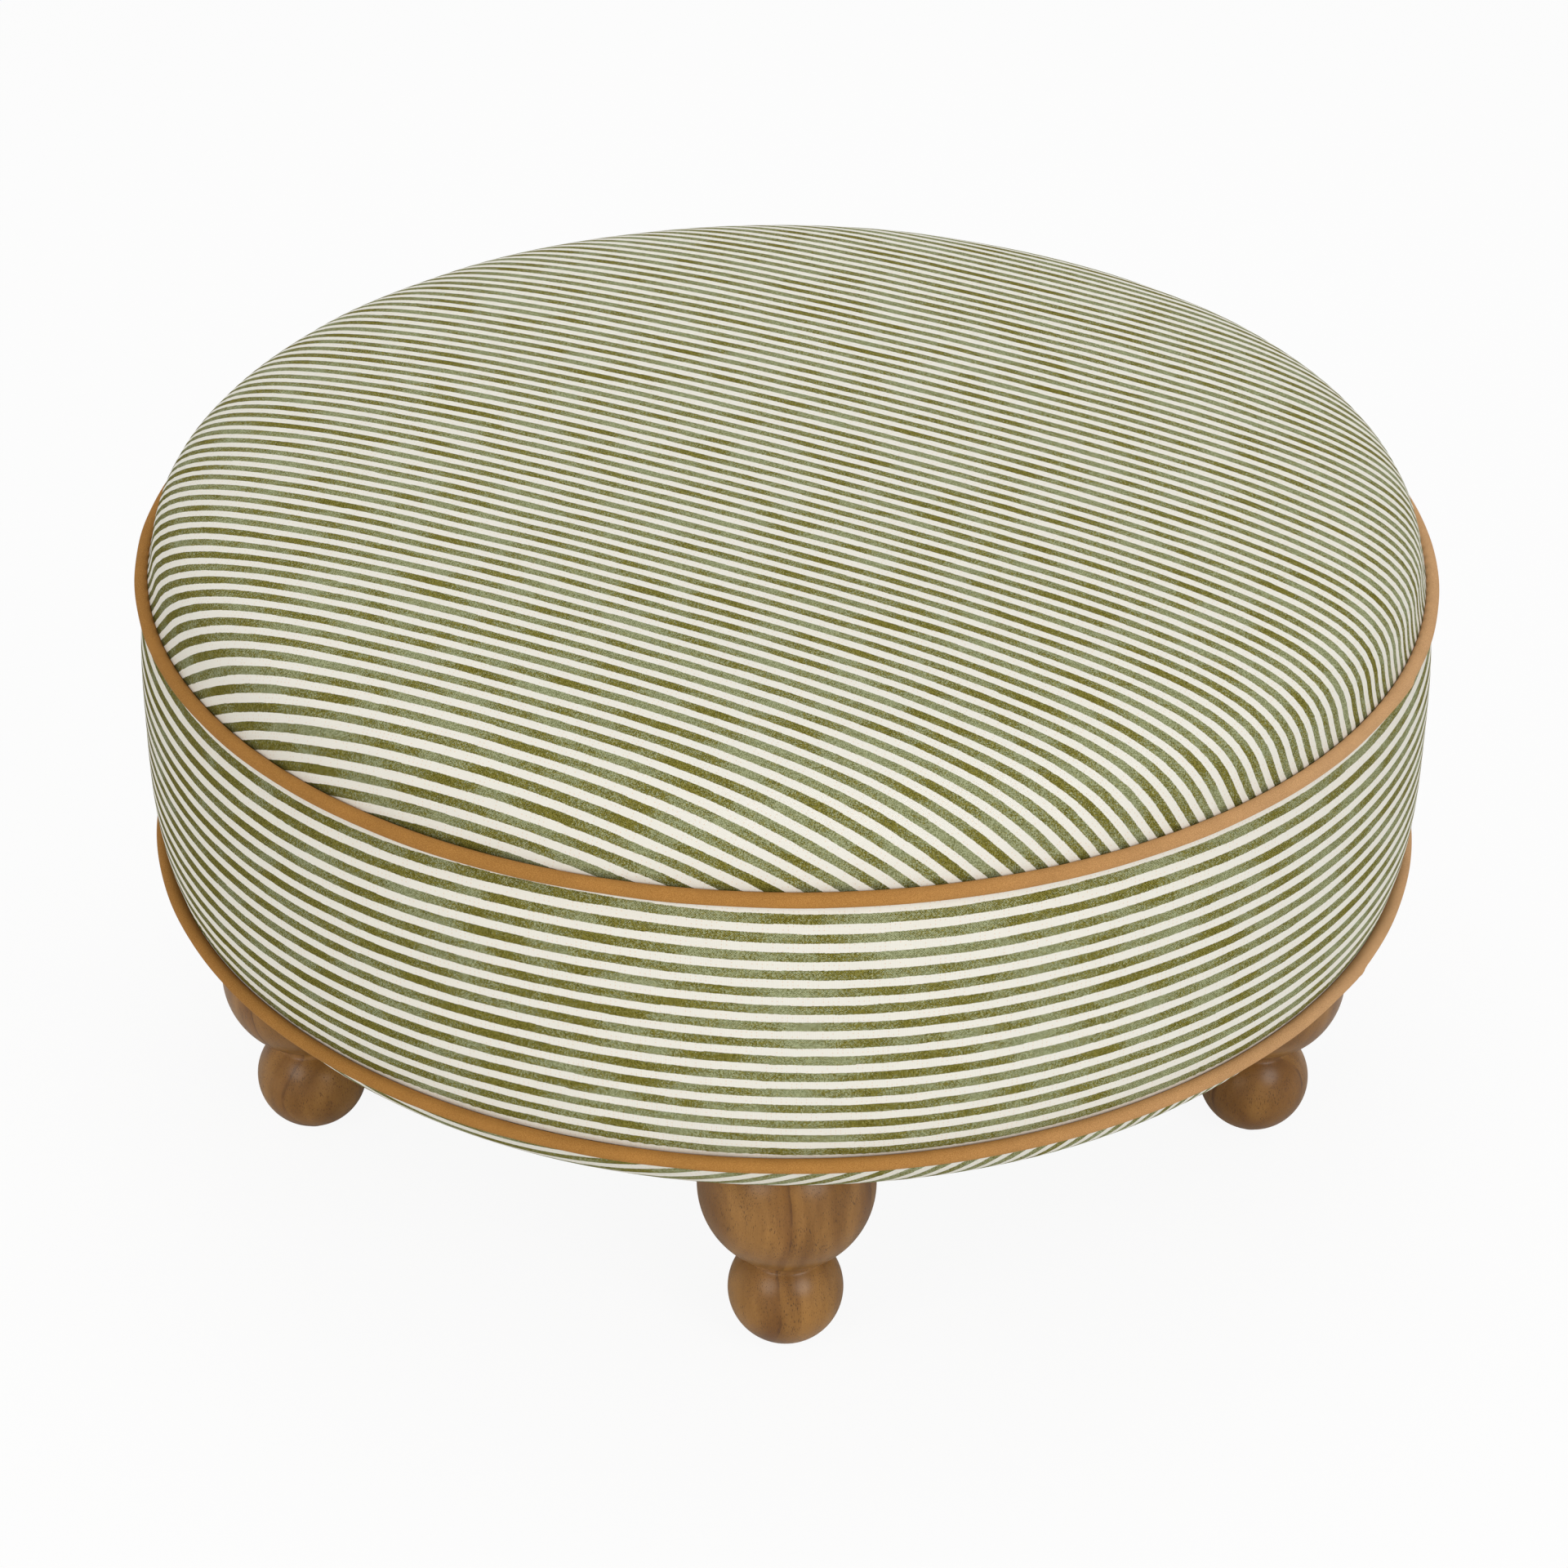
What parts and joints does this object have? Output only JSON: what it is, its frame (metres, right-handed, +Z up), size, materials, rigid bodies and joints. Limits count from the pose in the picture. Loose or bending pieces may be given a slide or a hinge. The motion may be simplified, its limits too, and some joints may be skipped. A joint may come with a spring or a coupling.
{
  "type": "round upholstered ottoman",
  "caption": "Round upholstered ottoman: crowned striped seat, striped side band between velvet welts, rolled lower edge and turned ball feet.",
  "frame": {"origin": "on the floor under the middle of the seat", "axes": "+Z up, -Y through the front foot, +X to the right of a person who faces that foot"},
  "size_m": [0.9139, 0.914, 0.5037],
  "materials": {
    "striped_canvas": "plain-weave cotton and linen canvas with green and ivory stripes, matte",
    "tan_velvet": "short-pile camel velvet",
    "stained_wood": "turned hardwood, brown stain, satin lacquer",
    "nylon": "moulded nylon, matte",
    "zinc_steel": "zinc-plated steel",
    "beech": "planed, unfinished",
    "plywood": "sawn birch plywood, unfinished",
    "hardboard": "smooth hardboard, unfinished",
    "jute": "woven jute webbing",
    "cambric": "thin black spunbond cloth",
    "foam": "open-cell upholstery foam",
    "wadding": "white polyester wadding"
  },
  "bodies": {
    "root": {"front_foot": "stained_wood", "right_foot": "stained_wood", "rear_right_foot": "stained_wood", "rear_left_foot": "stained_wood", "left_foot": "stained_wood", "foot_glides": "nylon", "glide_nails": "zinc_steel", "hanger_bolts": "zinc_steel", "tee_nuts": "zinc_steel", "foot_blocks": "beech", "block_screws": "zinc_steel", "toe_ring": "plywood", "base_panel": "plywood", "frame_posts": "beech", "seat_ring": "plywood", "post_screws": "zinc_steel", "side_board": "hardboard", "webbing_lengthwise": "jute", "webbing_crosswise": "jute", "deck_cloth": "cambric", "seat_foam": "foam", "seat_wadding": "wadding", "top_cover": "striped_canvas", "top_welt": "tan_velvet", "top_welt_cord": "wadding", "side_padding": "foam", "side_band": "striped_canvas", "bottom_welt": "tan_velvet", "bottom_welt_cord": "wadding", "roll_padding": "foam", "bottom_border": "striped_canvas", "dust_cover": "cambric"}
  },
  "joints": []
}
